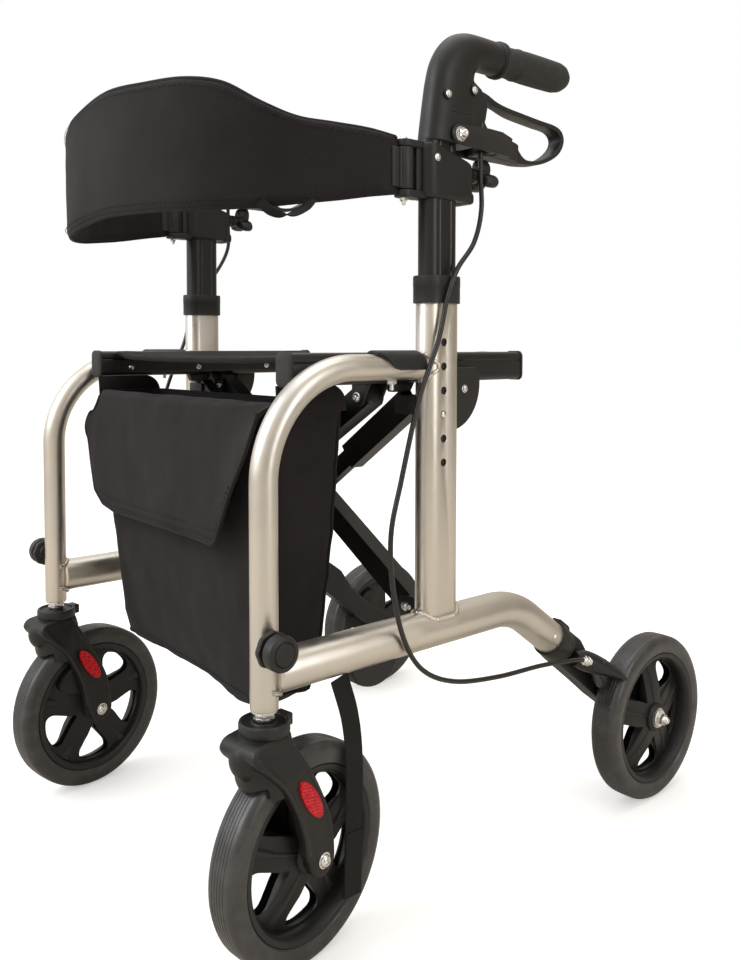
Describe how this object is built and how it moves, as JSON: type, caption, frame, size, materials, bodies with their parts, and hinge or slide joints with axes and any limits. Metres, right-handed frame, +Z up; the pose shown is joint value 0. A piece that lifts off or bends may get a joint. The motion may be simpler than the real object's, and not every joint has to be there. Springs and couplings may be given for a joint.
{
  "type": "rollator walker",
  "caption": "Side-folding rollator walker with a sling seat, backrest band, storage bag, swivelling front castors and hand brakes.",
  "frame": {"origin": "on the floor, under the middle of the walker's footprint", "axes": "+Z up; +X towards the user's left; the user faces and walks towards -Y"},
  "size_m": [0.565, 0.718, 0.879],
  "materials": {
    "satin_aluminium": "satin anodised, champagne tint",
    "bright_steel": "zinc-plated fasteners",
    "dark_aluminium": "black anodised, slightly glossy",
    "black_plastic": "moulded, fine grain",
    "soft_grip": "soft matte grip",
    "grey_tyre": "solid polyurethane tread",
    "cable_sheath": "smooth black sheath",
    "charcoal_fabric": "plain-weave polyester, charcoal",
    "webbing": "black woven webbing",
    "reflector_red": "moulded red reflector"
  },
  "bodies": {
    "frame_right": {"side_frame_right": "satin_aluminium", "post_collar_right": "black_plastic", "frame_bumper_right": "black_plastic", "rail_saddle_right": "black_plastic", "rail_guide_right": "black_plastic", "castor_stem_right": "bright_steel", "rear_arm_right": "black_plastic", "rear_axle_right": "bright_steel", "brake_cable_right": "cable_sheath", "bag": "charcoal_fabric"},
    "arm_right": {"cross_arm_right": "dark_aluminium", "cross_pivot_bolt": "bright_steel"},
    "stay_sleeve_right": {"stay_sleeve_right": "dark_aluminium"},
    "stay_rod_right": {"stay_rod_right": "dark_aluminium"},
    "rail_right": {"seat_rail_right": "dark_aluminium", "seat_sling": "charcoal_fabric"},
    "handle_right": {"handle_post_right": "dark_aluminium", "brake_housing_right": "black_plastic", "grip_right": "soft_grip"},
    "button_right": {"height_button_right": "bright_steel"},
    "clamp_right": {"backrest_clamp_right": "black_plastic"},
    "knob_right": {"clamp_knob_right": "black_plastic"},
    "backrest_right": {"backrest_right": "charcoal_fabric"},
    "lever_right": {"brake_lever_right": "black_plastic"},
    "shoe_right": {"brake_shoe_right": "black_plastic"},
    "castor_right": {"castor_fork_right": "black_plastic", "front_axle_right": "bright_steel"},
    "front_wheel_right": {"front_rim_right": "black_plastic", "front_tyre_right": "grey_tyre"},
    "rear_wheel_right": {"rear_rim_right": "black_plastic", "rear_tyre_right": "grey_tyre"},
    "frame_left": {"side_frame_left": "satin_aluminium", "post_collar_left": "black_plastic", "frame_bumper_left": "black_plastic", "rail_saddle_left": "black_plastic", "rail_guide_left": "black_plastic", "castor_stem_left": "bright_steel", "rear_arm_left": "black_plastic", "rear_axle_left": "bright_steel", "brake_cable_left": "cable_sheath", "fold_strap": "webbing"},
    "arm_left": {"cross_arm_left": "dark_aluminium"},
    "stay_sleeve_left": {"stay_sleeve_left": "dark_aluminium"},
    "stay_rod_left": {"stay_rod_left": "dark_aluminium"},
    "rail_left": {"seat_rail_left": "dark_aluminium"},
    "handle_left": {"handle_post_left": "dark_aluminium", "brake_housing_left": "black_plastic", "grip_left": "soft_grip"},
    "button_left": {"height_button_left": "bright_steel"},
    "clamp_left": {"backrest_clamp_left": "black_plastic"},
    "knob_left": {"clamp_knob_left": "black_plastic"},
    "backrest_left": {"backrest_left": "charcoal_fabric"},
    "lever_left": {"brake_lever_left": "black_plastic"},
    "shoe_left": {"brake_shoe_left": "black_plastic"},
    "castor_left": {"castor_fork_left": "black_plastic", "front_axle_left": "bright_steel"},
    "front_wheel_left": {"front_rim_left": "black_plastic", "front_tyre_left": "grey_tyre"},
    "rear_wheel_left": {"rear_rim_left": "black_plastic", "rear_tyre_left": "grey_tyre"}
  },
  "joints": [
    {"name": "fold", "type": "hinge", "parent": "frame_right", "child": "arm_right", "pos_m": [-0.18, -0.14502, 0.285], "axis": [0, -1, 0], "range_deg": [0, 28], "deforming": ["seat_sling", "bag", "fold_strap"]},
    {"name": "cross_pivot", "type": "hinge", "parent": "arm_right", "child": "arm_left", "pos_m": [0, -0.07702, 0.3965], "axis": [0, -1, 0], "range_deg": [-56.1, 0]},
    {"name": "lower_pivot_left", "type": "hinge", "parent": "arm_left", "child": "frame_left", "pos_m": [0.18, -0.07702, 0.285], "axis": [0, -1, 0], "range_deg": [0, 28.1]},
    {"name": "rail_pivot_left", "type": "hinge", "parent": "arm_right", "child": "rail_left", "pos_m": [0.18, -0.14502, 0.508], "axis": [0, -1, 0], "range_deg": [-28.1, 0]},
    {"name": "rail_pivot_right", "type": "hinge", "parent": "arm_left", "child": "rail_right", "pos_m": [-0.18, -0.07702, 0.508], "axis": [0, -1, 0], "range_deg": [0, 28.1]},
    {"name": "stay_pivot_right", "type": "hinge", "parent": "frame_right", "child": "stay_sleeve_right", "pos_m": [-0.196, -0.10252, 0.5], "axis": [0, -1, 0], "range_deg": [0, 6.58]},
    {"name": "stay_slide_right", "type": "slide", "parent": "stay_sleeve_right", "child": "stay_rod_right", "axis": [-0.8175, 0, 0.576], "range_m": [0, 0.086]},
    {"name": "stay_pivot_left", "type": "hinge", "parent": "frame_left", "child": "stay_sleeve_left", "pos_m": [0.196, -0.10252, 0.5], "axis": [0, -1, 0], "range_deg": [-6.58, 0]},
    {"name": "stay_slide_left", "type": "slide", "parent": "stay_sleeve_left", "child": "stay_rod_left", "axis": [0.8175, 0, 0.576], "range_m": [0, 0.086]},
    {"name": "backrest_pivot_right", "type": "hinge", "parent": "clamp_right", "child": "backrest_right", "pos_m": [-0.2225, -0.13502, 0.735], "axis": [0, 0, 1], "range_deg": [-17.69, 0]},
    {"name": "backrest_centre", "type": "hinge", "parent": "backrest_right", "child": "backrest_left", "pos_m": [0, -0.34352, 0.735], "axis": [0, 0, 1], "range_deg": [0, 35.28]},
    {"name": "handle_slide_right", "type": "slide", "parent": "frame_right", "child": "handle_right", "axis": [0, 0, 1], "range_m": [-0.048, 0.072], "deforming": ["height_button_right", "brake_cable_right"]},
    {"name": "handle_slide_left", "type": "slide", "parent": "frame_left", "child": "handle_left", "axis": [0, 0, 1], "range_m": [-0.048, 0.072], "deforming": ["height_button_left", "brake_cable_left"]},
    {"name": "height_button_push_right", "type": "slide", "parent": "handle_right", "child": "button_right", "axis": [1, 0, 0], "range_m": [0, 0.004]},
    {"name": "height_button_push_left", "type": "slide", "parent": "handle_left", "child": "button_left", "axis": [-1, 0, 0], "range_m": [0, 0.004]},
    {"name": "backrest_height_right", "type": "slide", "parent": "handle_right", "child": "clamp_right", "axis": [0, 0, 1], "range_m": [-0.02, 0]},
    {"name": "backrest_height_left", "type": "slide", "parent": "handle_left", "child": "clamp_left", "axis": [0, 0, 1], "range_m": [-0.02, 0]},
    {"name": "clamp_knob_turn_right", "type": "hinge", "parent": "clamp_right", "child": "knob_right", "pos_m": [-0.224, -0.04402, 0.735], "axis": [0, 1, 0], "range_deg": [0, 180]},
    {"name": "brake_lever_squeeze_right", "type": "hinge", "parent": "handle_right", "child": "lever_right", "pos_m": [-0.224, -0.07802, 0.769], "axis": [1, 0, 0], "range_deg": [0, 11]},
    {"name": "brake_shoe_pivot_right", "type": "hinge", "parent": "frame_right", "child": "shoe_right", "pos_m": [-0.253, 0.15698, 0.19], "axis": [1, 0, 0], "range_deg": [0, 5.01]},
    {"name": "castor_swivel_right", "type": "hinge", "parent": "frame_right", "child": "castor_right", "pos_m": [-0.224, -0.30302, 0.215], "axis": [0, 0, 1], "continuous": true},
    {"name": "front_wheel_spin_right", "type": "hinge", "parent": "castor_right", "child": "front_wheel_right", "pos_m": [-0.23026, -0.25845, 0.1], "axis": [0.9903, 0.1392, 0], "continuous": true},
    {"name": "rear_wheel_spin_right", "type": "hinge", "parent": "frame_right", "child": "rear_wheel_right", "pos_m": [-0.253, 0.25898, 0.1], "axis": [1, 0, 0], "continuous": true},
    {"name": "clamp_knob_turn_left", "type": "hinge", "parent": "clamp_left", "child": "knob_left", "pos_m": [0.224, -0.04402, 0.735], "axis": [0, 1, 0], "range_deg": [0, 180]},
    {"name": "brake_lever_squeeze_left", "type": "hinge", "parent": "handle_left", "child": "lever_left", "pos_m": [0.224, -0.07802, 0.769], "axis": [1, 0, 0], "range_deg": [0, 11]},
    {"name": "brake_shoe_pivot_left", "type": "hinge", "parent": "frame_left", "child": "shoe_left", "pos_m": [0.253, 0.15698, 0.19], "axis": [1, 0, 0], "range_deg": [0, 5.01]},
    {"name": "castor_swivel_left", "type": "hinge", "parent": "frame_left", "child": "castor_left", "pos_m": [0.224, -0.30302, 0.215], "axis": [0, 0, 1], "continuous": true, "deforming": ["fold_strap"]},
    {"name": "front_wheel_spin_left", "type": "hinge", "parent": "castor_left", "child": "front_wheel_left", "pos_m": [0.21774, -0.25845, 0.1], "axis": [0.9903, 0.1392, 0], "continuous": true},
    {"name": "rear_wheel_spin_left", "type": "hinge", "parent": "frame_left", "child": "rear_wheel_left", "pos_m": [0.253, 0.25898, 0.1], "axis": [1, 0, 0], "continuous": true}
  ],
  "couplings": [
    {"joint": "cross_pivot", "follows": "fold", "ratio": -2},
    {"joint": "lower_pivot_left", "follows": "fold", "ratio": 1},
    {"joint": "rail_pivot_left", "follows": "fold", "ratio": -1},
    {"joint": "rail_pivot_right", "follows": "fold", "ratio": 1},
    {"joint": "stay_pivot_right", "follows": "fold", "ratio": 0.23153},
    {"joint": "stay_slide_right", "follows": "fold", "m_per_rad": 0.17537},
    {"joint": "stay_pivot_left", "follows": "fold", "ratio": -0.23153},
    {"joint": "stay_slide_left", "follows": "fold", "m_per_rad": 0.17537},
    {"joint": "backrest_pivot_right", "follows": "fold", "ratio": -0.62823},
    {"joint": "backrest_centre", "follows": "fold", "ratio": 1.2565},
    {"joint": "handle_slide_left", "follows": "handle_slide_right", "ratio": 1},
    {"joint": "backrest_height_left", "follows": "backrest_height_right", "ratio": 1},
    {"joint": "brake_shoe_pivot_right", "follows": "brake_lever_squeeze_right", "ratio": 0.45454},
    {"joint": "brake_shoe_pivot_left", "follows": "brake_lever_squeeze_left", "ratio": 0.45454}
  ]
}
